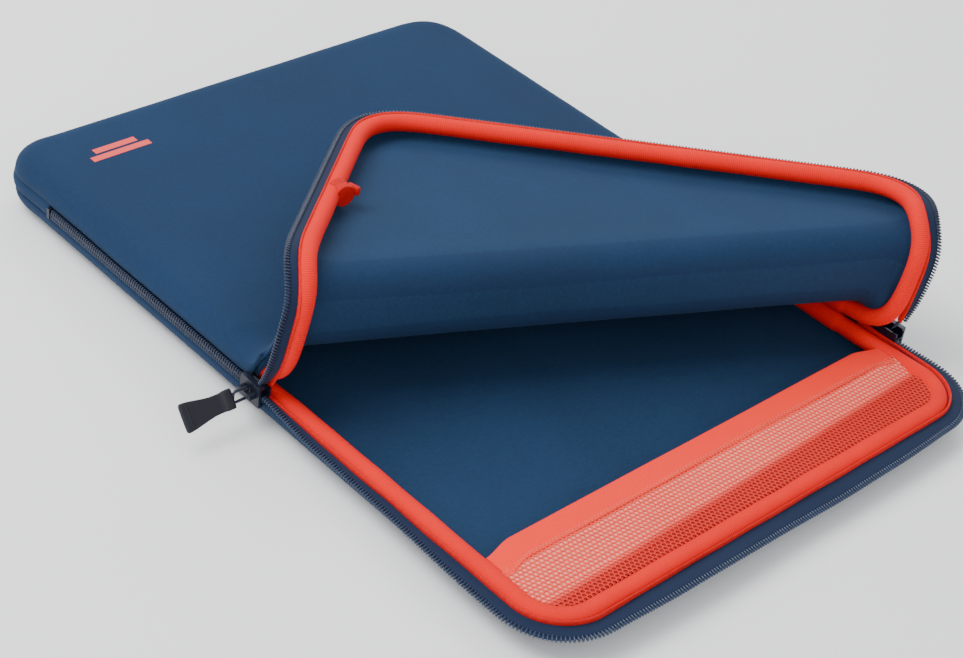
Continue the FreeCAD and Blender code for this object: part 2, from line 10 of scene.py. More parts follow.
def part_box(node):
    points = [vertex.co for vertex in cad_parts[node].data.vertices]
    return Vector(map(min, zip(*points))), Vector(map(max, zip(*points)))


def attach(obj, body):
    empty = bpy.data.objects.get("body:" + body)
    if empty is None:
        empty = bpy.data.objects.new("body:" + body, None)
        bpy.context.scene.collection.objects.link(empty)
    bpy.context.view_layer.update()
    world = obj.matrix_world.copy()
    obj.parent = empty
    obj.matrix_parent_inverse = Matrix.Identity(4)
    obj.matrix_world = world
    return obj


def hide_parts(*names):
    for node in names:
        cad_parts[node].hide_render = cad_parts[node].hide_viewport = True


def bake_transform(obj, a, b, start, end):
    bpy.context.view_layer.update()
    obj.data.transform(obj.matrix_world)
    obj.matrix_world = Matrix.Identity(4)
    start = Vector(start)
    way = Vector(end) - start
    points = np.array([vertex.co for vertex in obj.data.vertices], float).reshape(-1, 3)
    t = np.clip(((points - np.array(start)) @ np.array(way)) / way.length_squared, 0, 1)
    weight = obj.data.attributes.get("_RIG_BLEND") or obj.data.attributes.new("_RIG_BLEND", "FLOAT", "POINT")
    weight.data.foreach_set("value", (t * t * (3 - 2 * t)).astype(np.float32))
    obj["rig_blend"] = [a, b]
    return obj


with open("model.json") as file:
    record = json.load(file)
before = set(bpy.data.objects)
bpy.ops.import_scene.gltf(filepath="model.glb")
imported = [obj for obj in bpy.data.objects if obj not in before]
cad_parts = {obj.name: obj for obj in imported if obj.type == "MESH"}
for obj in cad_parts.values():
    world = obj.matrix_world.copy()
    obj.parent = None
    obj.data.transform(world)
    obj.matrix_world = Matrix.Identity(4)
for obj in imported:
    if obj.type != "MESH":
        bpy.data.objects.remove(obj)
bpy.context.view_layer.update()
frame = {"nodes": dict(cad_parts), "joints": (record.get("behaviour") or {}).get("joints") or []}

mm = 0.001
up = Vector((0, 0, 1))
scene = bpy.context.scene

# sizes read from the frame, in metres
shellLow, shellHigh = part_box("base_outer_shell")
sleeve = {
    "width": shellHigh[0] - shellLow[0],
    "length": shellHigh[1] - shellLow[1],
    "thick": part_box("front_outer_shell")[1][2],
    "cornerRound": 26 * mm,
    "edgeRound": 10 * mm,
    "shellThick": 2.5 * mm,   # outer jersey and foam
    "liningThick": 0.5 * mm,
    "gridStep": 4 * mm,
    "crown": 1.0 * mm,        # how far the panels bulge
    "waviness": 0.35 * mm,
}
halfWidth = sleeve["width"] / 2
halfLength = sleeve["length"] / 2
middle = sleeve["thick"] / 2
cornerRound = sleeve["cornerRound"]


def centreY(node):
    low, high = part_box(node)
    return (low[1] + high[1]) / 2


leftSliderY = centreY("slider_left_body")
rightSliderY = centreY("slider_right_body")

# how the front panel rolls back

joints = {joint["name"]: joint for joint in frame["joints"]}
firstPivot = Vector(joints["flap_fold"]["pos_m"])
secondPivot = Vector(joints["flap_tip_fold"]["pos_m"])
alongFold = Vector(joints["flap_fold"]["axis"]).normalized()
aheadFold = Vector((alongFold.y, -alongFold.x, 0))
bendTurn = math.radians(joints["flap_fold"]["range_deg"][1])
bendLength = (secondPivot - firstPivot).length
bendRadius = bendLength / bendTurn
panelHeight = firstPivot.z - bendRadius * (1 - bendTurn / 2 / math.tan(bendTurn / 2))
firstAhead = firstPivot.dot(aheadFold)
seamAhead = firstAhead + bendLength / 2
sliderAhead = Vector((-halfWidth, leftSliderY, 0)).dot(aheadFold)
bend = {
    "relax": 30,             # how often the edge of the rolled panel is eased
    "wallReach": 2 * mm,     # how far behind the slider the wall takes part
    "panelReach": 22 * mm,   # and the panel above it
    "frontReach": 34 * mm,   # how far beyond the seam
    "wallTop": 4 * mm,       # below the top face the cloth counts as wall
    "held": 16 * mm,         # the slider lets the edge go over this distance
}


def turnedPair(points, pivot, angle):
    offset = points - pivot
    c, s = np.cos(angle), np.sin(angle)
    return pivot + np.stack([offset[:, 0] * c - offset[:, 1] * s, offset[:, 0] * s + offset[:, 1] * c], 1)


def smooth(t):
    t = np.clip(t, 0, 1)
    return t * t * (3 - 2 * t)


def pair(ahead, height):
    return np.array([[ahead, height]])


pivotOne = pair(firstAhead, firstPivot.z)[0]
pivotTwo = pair(secondPivot.dot(aheadFold), secondPivot.z)[0]
zoneStart = pair(firstAhead - bendLength / 2, panelHeight)[0]
zoneSeam = turnedPair(pair(seamAhead, panelHeight), pivotOne, np.array([bendTurn]))[0]
tipTurned = turnedPair(pair(firstAhead + 1.5 * bendLength, panelHeight), pivotOne, np.array([bendTurn]))
zoneEnd = turnedPair(tipTurned, pivotTwo, np.array([bendTurn]))[0]


def bentAbout(points, pivot, start, end):
    low = np.zeros(len(points))
    high = np.ones(len(points))
    span = end - start
    for step in range(34):
        share = (low + high) / 2
        moved = turnedPair(points, pivot, share * bendTurn)
        more = smooth((moved - start) @ span / (span @ span)) > share
        low = np.where(more, share, low)
        high = np.where(more, high, share)
    return turnedPair(points, pivot, (low + high) / 2 * bendTurn)


def rolledBack(points, beyondSeam):
    points = np.asarray(points, float)
    ahead = np.array(aheadFold)
    along = np.array(alongFold)
    distance = points @ ahead
    sideways = points @ along
    flat = np.stack([distance, points[:, 2]], 1)
    rest = np.empty_like(flat)
    first = ~beyondSeam
    if first.any():
        rest[first] = bentAbout(flat[first], pivotOne, zoneStart, zoneSeam)
    if beyondSeam.any():
        turned = turnedPair(flat[beyondSeam], pivotOne, np.full(beyondSeam.sum(), bendTurn))
        rest[beyondSeam] = bentAbout(turned, pivotTwo, zoneSeam, zoneEnd)
    # beside the sliders the zip edge stays down until the slider lets it go
    held = 1 - smooth((distance - sliderAhead) / bend["held"])
    held = held * smooth((sleeve["thick"] - 3 * mm - points[:, 2]) / (8 * mm))
    rest = rest + (flat - rest) * held[:, None]
    return rest[:, :1] * ahead + sideways[:, None] * along + rest[:, 1:] * np.array(up)


# outline of the zip and rim
# distance runs from the left slider round the open end to the right slider

leftRun = leftSliderY + halfLength - cornerRound
cornerRun = cornerRound * math.pi / 2
endRun = 2 * (halfWidth - cornerRound)
rightRun = rightSliderY + halfLength - cornerRound
openRun = leftRun + cornerRun + endRun + cornerRun + rightRun


def outlineAt(distance, straight=leftRun, closedEnd=False):
    # point on the outline seen from above, and the way out of the sleeve
    sideX, sideY = halfWidth - cornerRound, halfLength - cornerRound
    rest = distance - straight
    rightHalf = rest > cornerRun + endRun / 2
    if rightHalf:
        rest = 2 * cornerRun + endRun - rest
    if rest <= 0:
        point, out = Vector((-halfWidth, -rest - sideY, 0)), Vector((-1, 0, 0))
    elif rest <= cornerRun:
        turn = rest / cornerRound
        out = Vector((-math.cos(turn), -math.sin(turn), 0))
        point = Vector((-sideX, -sideY, 0)) + out * cornerRound
    else:
        point, out = Vector((rest - cornerRun - sideX, -halfLength, 0)), Vector((0, -1, 0))
    if rightHalf:
        point.x, out.x = -point.x, -out.x
    if closedEnd:
        point.y, out.y = -point.y, -out.y
    return point, out


def ease(value, low, high):
    t = min(max((value - low) / (high - low), 0), 1)
    return t * t * (3 - 2 * t)


def evenly(low, high, count):
    return [low + (high - low) * k / count for k in range(count + 1)]


def away(distance, reach):
    # 0 at either slider, 1 once reach past them
    return ease(distance, 0, reach) * ease(openRun - distance, 0, reach)


def atCorner(distance):
    # 1 in the middle of either corner, 0 on the straights
    share = 0
    for centre in (leftRun + cornerRun / 2, openRun - rightRun - cornerRun / 2):
        share = max(share, 1 - ease(abs(distance - centre), cornerRun * 0.3, cornerRun * 1.4))
    return share


def framed(first, second, third, place):
    # matrix from three directions and a place
    return Matrix([[v[row] for v in (first, second, third, place)] for row in range(3)] + [[0, 0, 0, 1]])


def acrossX(x, y, z, size=1):
    # frame of a ring that stands across the x axis
    return framed((0, size, 0), (0, 0, size), (1, 0, 0), (x, y, z))


def onwards(out):
    return Vector((-out.y, out.x, 0))


def routeFrames(start, end, step, place, upper=False, **which):
    # place gives (outwards, height, widen, turn) at a distance; upper turns the frame over
    rise = -up if upper else up
    frames = []
    for distance in evenly(start, end, max(2, round((end - start) / step))):
        point, out = outlineAt(distance, **which)
        outwards, height, widen, turn = place(distance)
        if upper:
            height = sleeve["thick"] - height
        across = out * math.cos(turn) + rise * math.sin(turn)
        lift = rise * math.cos(turn) - out * math.sin(turn)
        centre = point + out * outwards + up * height
        frames.append((framed(across * widen, lift * widen, onwards(out), centre), distance))
    return frames


def seamDistances(outwards):
    # where a route this far outwards crosses the seam, on the left and on the right
    found = []
    for side in (-1, 1):
        x = side * (halfWidth + outwards)
        y = (seamAhead - x * aheadFold.x) / aheadFold.y
        found.append(leftSliderY - y if side < 0 else openRun + y - rightSliderY)
    return found


def softened(values, spread, pinned):
    # gaussian smoothing along a row of vectors; pinned keeps both ends where they are
    reach = int(3 * spread) + 1
    weights = np.exp(-0.5 * (np.arange(-reach, reach + 1) / spread) ** 2)
    padded = np.pad(values, ((reach, reach), (0, 0)), "reflect", reflect_type="odd" if pinned else "even")
    return np.stack([np.convolve(padded[:, k], weights / weights.sum(), "valid") for k in range(3)], 1)


def rolledRoute(start, end, step, place, spread=8 * mm):
    # frames of a route on the rolled panel, evenly spaced as it lies; parts cut where the seam is
    left, right = seamDistances(place(0)[0])
    flat = routeFrames(start, end, 0.3 * mm, place, upper=True)
    distance = np.linspace(start, end, len(flat))
    beyond = (distance > left) & (distance < right)
    centres = np.array([m.translation for m, _ in flat])
    rolled = rolledBack(centres, beyond)
    runs = np.concatenate([[0], np.cumsum(np.linalg.norm(np.diff(rolled, axis=0), axis=1))])
    samples = np.linspace(0, runs[-1], max(4, round(runs[-1] / step)))

    def turned(column):
        # one direction of the flat frames after the roll
        probes = centres + np.array([m.col[column].xyz.normalized() for m, _ in flat]) * 0.5 * mm
        moved = rolledBack(probes, beyond) - rolled
        return moved / np.linalg.norm(moved, axis=1)[:, None]

    def eased(values, pinned=False):
        values = np.stack([np.interp(samples, runs, values[:, k]) for k in range(3)], 1)
        return softened(values, spread / step, pinned)

    places, outward, raised = eased(rolled, True), eased(turned(0)), eased(turned(1))
    wide = np.interp(samples, runs, [m.col[0].xyz.length for m, _ in flat])
    inside = np.interp(samples, runs, beyond.astype(float)) > 0.5
    onward = np.gradient(places, axis=0)
    frames = []
    for index, sample in enumerate(samples):
        heading = Vector(onward[index]).normalized()
        rise = Vector(raised[index])
        rise = (rise - heading * rise.dot(heading)).normalized()
        over = rise.cross(heading)
        if over.dot(Vector(outward[index])) < 0:
            over = -over
        frames.append((framed(over * wide[index], rise * wide[index], heading, places[index]), sample))
    stretches, first = [], 0
    for index in range(1, len(frames) + 1):
        if index == len(frames) or inside[index] != inside[first]:
            stretches.append((int(inside[first]), frames[first:index + 1]))
            first = index
    return stretches


def sweep(ring, frames):
    # carries a closed ring of (across, lift) points along the frames
    bm = bmesh.new()
    around = bm.verts.layers.float.new("around")
    run = bm.verts.layers.float.new("run")
    verts = [bm.verts.new((x, y, 0)) for x, y in ring]
    turn = 0
    for index, vert in enumerate(verts):
        vert[around] = turn
        turn += (Vector(ring[index]) - Vector(ring[(index + 1) % len(ring)])).length
    first = bm.faces.new(verts)
    bmesh.ops.transform(bm, matrix=frames[0][0], verts=verts)
    for vert in verts:
        vert[run] = frames[0][1]
    edges = list(first.edges)
    for (before, _), (after, distance) in zip(frames, frames[1:]):
        grown = bmesh.ops.extrude_edge_only(bm, edges=edges)["geom"]
        edges = [g for g in grown if isinstance(g, bmesh.types.BMEdge)]
        moved = [g for g in grown if isinstance(g, bmesh.types.BMVert)]
        bmesh.ops.transform(bm, matrix=after @ before.inverted(), verts=moved)
        for vert in moved:
            vert[run] = distance
    bmesh.ops.holes_fill(bm, edges=edges, sides=0)
    bmesh.ops.recalc_face_normals(bm, faces=bm.faces)
    for face in bm.faces:
        if len(face.verts) != 4:
            for edge in face.edges:
                edge.smooth = False
    uv = bm.loops.layers.uv.new("UVMap")
    for face in bm.faces:
        spread = max(v[around] for v in face.verts) - min(v[around] for v in face.verts)
        for loop in face.loops:
            turned = loop.vert[around]
            if spread > turn / 2 and turned < turn / 2:
                turned += turn
            loop[uv].uv = (loop.vert[run], turned)
        face.smooth = len(face.verts) == 4
    return bm


def circleRing(radius, sides=16):
    return [(radius * math.cos(math.tau * k / sides), radius * math.sin(math.tau * k / sides))
            for k in range(sides)]


def bandRing(width, thick, steps=6):
    # thin band whose scale across is carried by its frames
    across = [width * (k / steps) for k in range(steps + 1)]
    return [(x, thick) for x in across] + [(x, 0) for x in reversed(across)]


# making objects


def asMesh(bm, name="loose"):
    mesh = bpy.data.meshes.new(name)
    bm.to_mesh(mesh)
    bm.free()
    return mesh


def looseObject(bm, name="loose"):
    obj = bpy.data.objects.new(name, asMesh(bm, name))
    scene.collection.objects.link(obj)
    return obj


def makeObject(name, bm, material, smoothAngle=None):
    obj = looseObject(bm, name)
    obj.data.materials.append(material)
    if smoothAngle is not None:
        obj.data.shade_smooth()
        obj.data.set_sharp_from_angle(angle=math.radians(smoothAngle))
    return obj


def fixedPiece(name, bm, material, nodes, body="sleeve", smoothAngle=None):
    # a piece that rides on one body and stands for the named nodes
    obj = makeObject(name, bm, material, smoothAngle)
    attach(obj, body)
    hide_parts(*nodes)
    return obj


def finished(obj, subdivide=0, thickness=0):
    # applies the modifiers and hands the result back as a bmesh
    if thickness:
        solid = obj.modifiers.new("wall", "SOLIDIFY")
        solid.thickness = thickness
        solid.offset = -1
        solid.use_even_offset = True
    if subdivide:
        round_ = obj.modifiers.new("round", "SUBSURF")
        round_.levels = round_.render_levels = subdivide
    bpy.context.view_layer.update()
    evaluated = obj.evaluated_get(bpy.context.evaluated_depsgraph_get())
    bm = bmesh.new()
    bm.from_mesh(evaluated.to_mesh())
    evaluated.to_mesh_clear()
    mesh = obj.data
    bpy.data.objects.remove(obj)
    bpy.data.meshes.remove(mesh)
    return bm


def splitAndRoll(bm, thickness, names, material, nodes):
    # rolls a flat front surface back, relaxes its edge at the bend, thickens it and cuts it at the seam
    geometry = list(bm.verts) + list(bm.edges) + list(bm.faces)
    bmesh.ops.bisect_plane(bm, geom=geometry, dist=1e-7, plane_co=aheadFold * seamAhead, plane_no=aheadFold)
    beyond = bm.faces.layers.int.new("beyond")
    for face in bm.faces:
        face[beyond] = int(face.calc_center_median().dot(aheadFold) > seamAhead)
    points = np.array([v.co for v in bm.verts])
    ahead = points @ np.array(aheadFold)
    moved = rolledBack(points, ahead > seamAhead + 1e-6)
    loose = []
    for vert, point, far in zip(bm.verts, points, ahead):
        behind = bend["wallReach"] if point[2] < sleeve["thick"] - bend["wallTop"] else bend["panelReach"]
        if sliderAhead - behind < far < seamAhead + bend["frontReach"]:
            loose.append(vert)
    for vert, place in zip(bm.verts, moved):
        vert.co = place
    for step in range(bend["relax"]):
        bmesh.ops.smooth_vert(bm, verts=loose, factor=0.5, use_axis_x=True, use_axis_y=True, use_axis_z=True)
    whole = finished(looseObject(bm), thickness=thickness)
    whole.normal_update()
    beyond = whole.faces.layers.int["beyond"]
    facing = [whole.verts.layers.float.new("facing" + axis) for axis in "XYZ"]
    inner = whole.verts.layers.int.new("inner")
    for index, vert in enumerate(whole.verts):
        vert[inner] = int(index >= len(whole.verts) // 2)
        for layer, value in zip(facing, vert.normal):
            vert[layer] = value
    pieces = []
    for part, name in enumerate(names):
        piece = whole.copy()
        layer = piece.faces.layers.int["beyond"]
        bmesh.ops.delete(piece, geom=[f for f in piece.faces if f[layer] != part], context="FACES")
        side = piece.verts.layers.int["inner"]
        cut = [e for e in piece.edges if e.is_boundary and e.verts[0][side] == e.verts[1][side]]
        bmesh.ops.bridge_loops(piece, edges=cut)
        left = [e for e in piece.edges if e.is_boundary]
        if left:
            bmesh.ops.holes_fill(piece, edges=left, sides=0)
        layers = [piece.verts.layers.float["facing" + axis] for axis in "XYZ"]
        normals = [tuple(v[layer] for layer in layers) for v in piece.verts]
        obj = makeObject(name, piece, material)
        obj.data.normals_split_custom_set_from_vertices(normals)
        pieces.append(foldOver(obj, part, nodes))
    whole.free()
    return pieces


def inSpace(place):
    return tuple(aheadFold * float(place[0]) + up * float(place[1]))


def foldOver(obj, part, nodes):
    # part 0 bends between sleeve and roll, part 1 between roll and flap
    bodies = ("sleeve", "roll", "flap")[part:part + 2]
    start, end = (inSpace(place) for place in (zoneStart, zoneSeam, zoneEnd)[part:part + 2])
    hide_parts(*nodes[part])
    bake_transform(obj, *bodies, start=start, end=end)
    return obj


def rolledSweep(ring, start, end, step, place, names, material, slotName, nodes):
    # a route of the front half, swept in pieces that meet at the seam
    made = {0: [], 1: []}
    for part, frames in rolledRoute(start, end, step, place):
        if len(frames) > 2:
            made[part].append(sweep(ring, frames))
    pieces = []
    for part, sweeps in made.items():
        if sweeps:
            obj = makeObject(names[part], joined(*sweeps), material)
            pieces.append(foldOver(obj, part, nodes))
    return pieces


def keepClosed(bm):
    bmesh.ops.remove_doubles(bm, verts=bm.verts, dist=1e-7)
    bmesh.ops.recalc_face_normals(bm, faces=bm.faces)
    return bm


def copiesOf(shape, matrices):
    # one mesh with a copy of the small shape at every matrix
    bm = bmesh.new()
    small = asMesh(shape)
    for matrix in matrices:
        bm.from_mesh(small)
        bm.verts.ensure_lookup_table()
        bmesh.ops.transform(bm, matrix=matrix, verts=bm.verts[-len(small.vertices):])
    bpy.data.meshes.remove(small)
    for face in bm.faces:
        face.smooth = True
    return bm


def block(size, bevel=0.0, segments=2):
    bm = bmesh.new()
    bmesh.ops.create_cube(bm, size=1)
    bmesh.ops.scale(bm, vec=size, verts=bm.verts)
    if bevel:
        bmesh.ops.bevel(bm, geom=bm.edges[:], offset=bevel, segments=segments, profile=0.5,
                        affect="EDGES", material=-1)
    return bm


def joined(*parts):
    # several small meshes as one
    bm = bmesh.new()
    for part in parts:
        mesh = asMesh(part)
        bm.from_mesh(mesh)
        bpy.data.meshes.remove(mesh)
    return bm


# materials


def tone(red, green, blue):
    # screen colour to linear
    shares = [c / 255 for c in (red, green, blue)]
    return tuple((s / 12.92 if s < 10 / 255 else ((s + 0.055) / 1.055) ** 2.4) for s in shares) + (1,)


def makePattern(name, recipe, *inputs):
    # node group that turns a place into a shade and a height
    tree = bpy.data.node_groups.new(name, "ShaderNodeTree")
    for label in ("Vector",) + inputs:
        kind = "NodeSocketVector" if label == "Vector" else "NodeSocketFloat"
        tree.interface.new_socket(name=label, in_out="INPUT", socket_type=kind)
    for label in ("Shade", "Height"):
        tree.interface.new_socket(name=label, in_out="OUTPUT", socket_type="NodeSocketFloat")
    start, end = tree.nodes.new("NodeGroupInput"), tree.nodes.new("NodeGroupOutput")
    for value, label in zip(recipe(tree, *(start.outputs[i] for i in range(1 + len(inputs)))), ("Shade", "Height")):
        tree.links.new(value, end.inputs[label])
    return tree


def plug(tree, value, socket):
    if isinstance(value, bpy.types.NodeSocket):
        tree.links.new(value, socket)
    elif value is not None:
        socket.default_value = value


def maths(tree, operation, first, second=None, third=None):
    node = tree.nodes.new("ShaderNodeMath")
    node.operation = operation
    for value, socket in zip((first, second, third), node.inputs):
        plug(tree, value, socket)
    return node.outputs[0]


def noiseAt(tree, vector, scale, detail=2.0, roughness=0.5, stretch=(1, 1, 1)):
    mapping = tree.nodes.new("ShaderNodeMapping")
    mapping.inputs["Scale"].default_value = stretch
    tree.links.new(vector, mapping.inputs["Vector"])
    node = tree.nodes.new("ShaderNodeTexNoise")
    node.inputs["Scale"].default_value = scale
    node.inputs["Detail"].default_value = detail
    node.inputs["Roughness"].default_value = roughness
    tree.links.new(mapping.outputs[0], node.inputs["Vector"])
    return node.outputs["Fac"]


def wholeTone(tree, first, second, share):
    # blend of two values by a share
    return maths(tree, "MULTIPLY_ADD", maths(tree, "SUBTRACT", second, first), share, first)


def channels(tree, vector):
    apart = tree.nodes.new("ShaderNodeSeparateXYZ")
    tree.links.new(vector, apart.inputs[0])
    return apart.outputs


def ripples(tree, run, pitch, pace=1.0):
    turns = maths(tree, "DIVIDE", run, pitch)
    return maths(tree, "SINE", maths(tree, "MULTIPLY", turns, math.tau * pace))


def jerseyRecipe(tree, place):
    # fine knit grain with soft fading over a hand's breadth
    grain = noiseAt(tree, place, 1500, 2, 0.6)
    fleck = noiseAt(tree, place, 520, 3, 0.6, (1, 1.8, 1))
    fade = noiseAt(tree, place, 14, 3, 0.5)
    shade = wholeTone(tree, wholeTone(tree, grain, fleck, 0.5), fade, 0.35)
    spread = maths(tree, "MULTIPLY_ADD", maths(tree, "SUBTRACT", shade, 0.5), 2.2, 0.5)
    return spread, wholeTone(tree, grain, fleck, 0.4)


def ribRecipe(tree, place, pitch):
    # ribs across a sewn tube, one every pitch along it
    run = maths(tree, "MULTIPLY_ADD", noiseAt(tree, place, 90, 2, 0.5), 0.0012, channels(tree, place)[0])
    ribs = maths(tree, "MULTIPLY_ADD", ripples(tree, run, pitch), 0.5, 0.5)
    fuzz = noiseAt(tree, place, 1600, 2, 0.6)
    fade = noiseAt(tree, place, 55, 3, 0.55)
    return wholeTone(tree, wholeTone(tree, ribs, fuzz, 0.3), fade, 0.45), wholeTone(tree, ribs, fuzz, 0.22)


def twillRecipe(tree, place, pitch):
    # twill of the zip tape: slanting lines crossed by the weft
    along, across, _ = channels(tree, place)
    twill = ripples(tree, maths(tree, "ADD", along, across), pitch)
    weft = ripples(tree, along, pitch, 1.7)
    woven = maths(tree, "MULTIPLY_ADD", maths(tree, "ADD", twill, weft), 0.25, 0.5)
    fuzz = noiseAt(tree, place, 1300, 2, 0.6)
    return wholeTone(tree, woven, fuzz, 0.5), wholeTone(tree, woven, fuzz, 0.3)


def scuffRecipe(tree, place):
    # moulded or painted surface: faint pits and rubbed patches
    pits = noiseAt(tree, place, 1800, 3, 0.6)
    return wholeTone(tree, pits, noiseAt(tree, place, 160, 4, 0.6), 0.6), pits


jerseyKnit = makePattern("jerseyKnit", jerseyRecipe)
ribKnit = makePattern("ribKnit", ribRecipe, "Pitch")
tapeTwill = makePattern("tapeTwill", twillRecipe, "Pitch")
scuffed = makePattern("scuffed", scuffRecipe)


def mixed(tree, share, first, second, blend="MIX"):
    node = tree.nodes.new("ShaderNodeMix")
    node.data_type = "RGBA"
    node.blend_type = blend
    for value, index in ((share, 0), (first, 6), (second, 7)):
        plug(tree, value, node.inputs[index])
    return node.outputs[2]


def finishFor(name, field, light, dark, roughness, bump, place="Object", pitch=None, sheen=0.0, metallic=0.0,
              sheenTint=None, roughSpread=0.12):
    # a material whose colour, roughness and bump all follow one field
    material = bpy.data.materials.new(name)
    material.use_nodes = True
    tree = material.node_tree
    shader = tree.nodes["Principled BSDF"]
    where = tree.nodes.new("ShaderNodeTexCoord")
    pattern = tree.nodes.new("ShaderNodeGroup")
    pattern.node_tree = field
    tree.links.new(where.outputs[place], pattern.inputs["Vector"])
    if pitch:
        pattern.inputs["Pitch"].default_value = pitch
    colour = mixed(tree, pattern.outputs["Shade"], tone(*dark), tone(*light))
    tree.links.new(colour, shader.inputs["Base Color"])
    rough = maths(tree, "MULTIPLY_ADD", pattern.outputs["Shade"], roughSpread, roughness - roughSpread / 2)
    tree.links.new(rough, shader.inputs["Roughness"])
    relief = tree.nodes.new("ShaderNodeBump")
    relief.inputs["Strength"].default_value = 1.0
    relief.inputs["Distance"].default_value = bump
    tree.links.new(pattern.outputs["Height"], relief.inputs["Height"])
    tree.links.new(relief.outputs[0], shader.inputs["Normal"])
    shader.inputs["Sheen Weight"].default_value = sheen
    shader.inputs["Metallic"].default_value = metallic
    shader.inputs["Specular IOR Level"].default_value = 0.5 if roughness < 0.7 else 0.25   # cloth is dull
    if sheenTint:
        shader.inputs["Sheen Tint"].default_value = tone(*sheenTint)
    return material


navyJersey = finishFor("navyJersey", jerseyKnit, (20, 52, 86), (8, 32, 60), 0.85, 0.12 * mm, sheen=0.05,
                       sheenTint=(120, 170, 220))
blueJersey = finishFor("blueJersey", jerseyKnit, (24, 58, 92), (10, 36, 64), 0.85, 0.12 * mm, sheen=0.05,
                       sheenTint=(150, 190, 230))
coralKnit = finishFor("coralKnit", ribKnit, (255, 26, 12), (206, 6, 4), 0.8, 0.12 * mm, "UV", 0.9 * mm, 0.05,
                      sheenTint=(255, 180, 160))
coralBinding = finishFor("coralBinding", jerseyKnit, (235, 24, 14), (160, 6, 4), 0.8, 0.1 * mm, sheen=0.05,
                         sheenTint=(255, 170, 150))
coralElastic = finishFor("coralElastic", ribKnit, (255, 52, 30), (244, 30, 18), 0.7, 0.05 * mm, "UV", 0.9 * mm, 0.05,
                         sheenTint=(255, 200, 180))
coralNet = finishFor("coralNet", jerseyKnit, (255, 96, 74), (235, 52, 38), 0.7, 0.05 * mm, sheen=0.2,
                     sheenTint=(255, 200, 180))


def paintedShadeZone(material, factor, low=-156 * mm, high=-149.5 * mm, slant=-0.045):
    # painted shade: darkens the colour towards the open end, past a line that slants across the pocket, where the
    # pocket lies in shadow; the shade keeps more red than green and blue
    tree = material.node_tree
    shader = tree.nodes["Principled BSDF"]
    colour = shader.inputs["Base Color"].links[0].from_socket
    where = tree.nodes.new("ShaderNodeTexCoord")
    alongX, alongY, _ = channels(tree, where.outputs["Object"])
    slanted = maths(tree, "MULTIPLY_ADD", alongX, slant, alongY)
    ramp = tree.nodes.new("ShaderNodeMapRange")
    ramp.interpolation_type = "SMOOTHSTEP"
    for name, value in (("From Min", low), ("From Max", high), ("To Min", factor), ("To Max", 1.0)):
        ramp.inputs[name].default_value = value
    tree.links.new(slanted, ramp.inputs["Value"])
    tint = tree.nodes.new("ShaderNodeCombineColor")
    for channel, power in ((0, 0.35), (1, 1.6), (2, 1.6)):
        tree.links.new(maths(tree, "POWER", ramp.outputs[0], power), tint.inputs[channel])
    tree.links.new(mixed(tree, 1.0, colour, tint.outputs[0], "MULTIPLY"), shader.inputs["Base Color"])


netBacking = finishFor("netBacking", jerseyKnit, (255, 176, 160), (248, 132, 116), 0.9, 0.1 * mm)
# painted shade on the net and on the pale sheet under it, towards the open end
paintedShadeZone(coralNet, 0.38)
paintedShadeZone(netBacking, 0.10)
coralThread = finishFor("coralThread", jerseyKnit, (255, 130, 108), (220, 80, 66), 0.7, 0.05 * mm)
denimTape = finishFor("denimTape", tapeTwill, (24, 44, 76), (10, 22, 44), 0.85, 0.08 * mm, "UV", 0.9 * mm, 0.05)
# the open coil on the base: the same coil as darkCoil, painted paler as a painted highlight on its beads
paintedHighlightCoil = finishFor("paintedHighlightCoil", scuffed, (54, 72, 102), (14, 24, 46), 0.35, 0.02 * mm)
darkCoil = finishFor("darkCoil", scuffed, (40, 54, 82), (18, 26, 46), 0.35, 0.02 * mm)
coralPrint = finishFor("coralPrint", scuffed, (240, 84, 76), (220, 60, 54), 0.6, 0.02 * mm)
sliderPaint = finishFor("sliderPaint", scuffed, (22, 30, 52), (8, 12, 26), 0.38, 0.02 * mm, metallic=0.2)
linkSteel = finishFor("linkSteel", scuffed, (70, 76, 96), (34, 38, 54), 0.35, 0.02 * mm, metallic=0.7)
navyRubber = finishFor("navyRubber", scuffed, (14, 18, 34), (6, 8, 18), 0.6, 0.03 * mm)
print("materials made")

# padded panels

panel = {
    "flatMargin": cornerRound - sleeve["edgeRound"],   # from the corner's centre to where the wall starts to turn
    "gap": 0.05 * mm,
}


def panelRise(x, y):
    # how far the front panel stands above its flat shape
    crown = (1 - (x / halfWidth) ** 2) * (1 - (y / halfLength) ** 2)
    swell = noise.noise(Vector((x, y, 0.3)) * 14) + 0.4 * noise.noise(Vector((x, y, 0.7)) * 45)
    return sleeve["crown"] * max(crown, 0) ** 0.6 + sleeve["waviness"] * swell


def cornerFill(leftSide, turn):
    # the closed corners are packed fuller than a plain arc, the left one most
    return (4.5 if leftSide else 1.5) * mm * math.sin(2 * turn) ** 2


